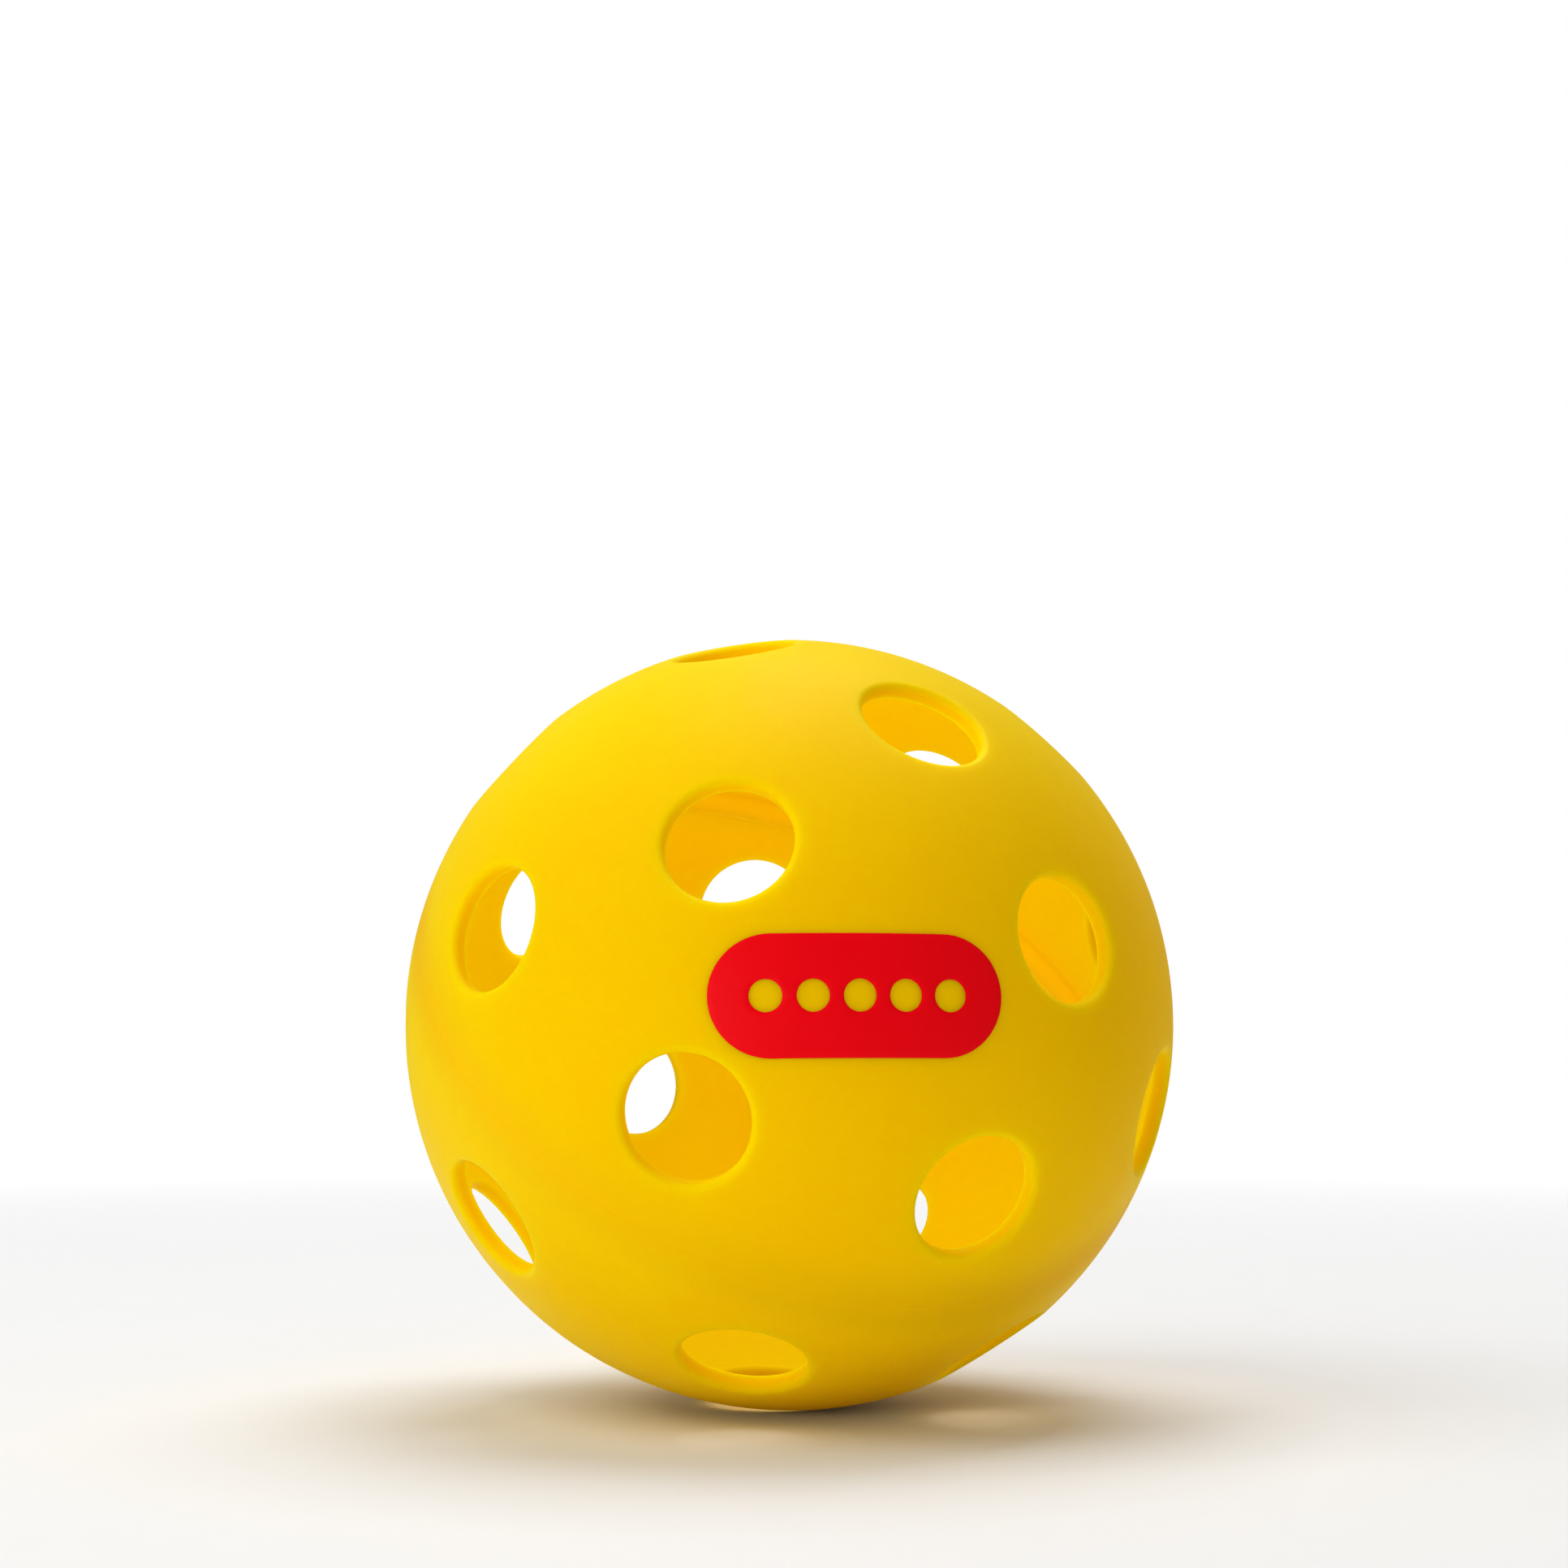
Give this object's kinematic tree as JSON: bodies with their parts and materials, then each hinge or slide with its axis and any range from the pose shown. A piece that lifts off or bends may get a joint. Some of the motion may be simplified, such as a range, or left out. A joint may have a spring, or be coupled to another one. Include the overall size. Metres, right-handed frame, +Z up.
{
  "type": "pickleball",
  "caption": "Hollow, perforated plastic ball for pickleball: two half shells with round holes, welded at the equator, with a printed panel.",
  "frame": {"origin": "centre of the ball", "axes": "+Z up and -Y towards the front, with the ball lying at rest; its upper pole leans forward and right, 47.4 degrees above level and 29.5 degrees right of the front, so the weld is tilted"},
  "size_m": [0.0733, 0.0743, 0.0739],
  "materials": {
    "shell": "yellow moulded polyethylene, satin",
    "weld": "the same yellow plastic, melted and set, slightly rough",
    "ink": "red printed ink, smooth"
  },
  "bodies": {
    "root": {"upper_half_shell": "shell", "lower_half_shell": "shell", "weld_bead": "weld", "printed_panel": "ink"}
  },
  "joints": []
}
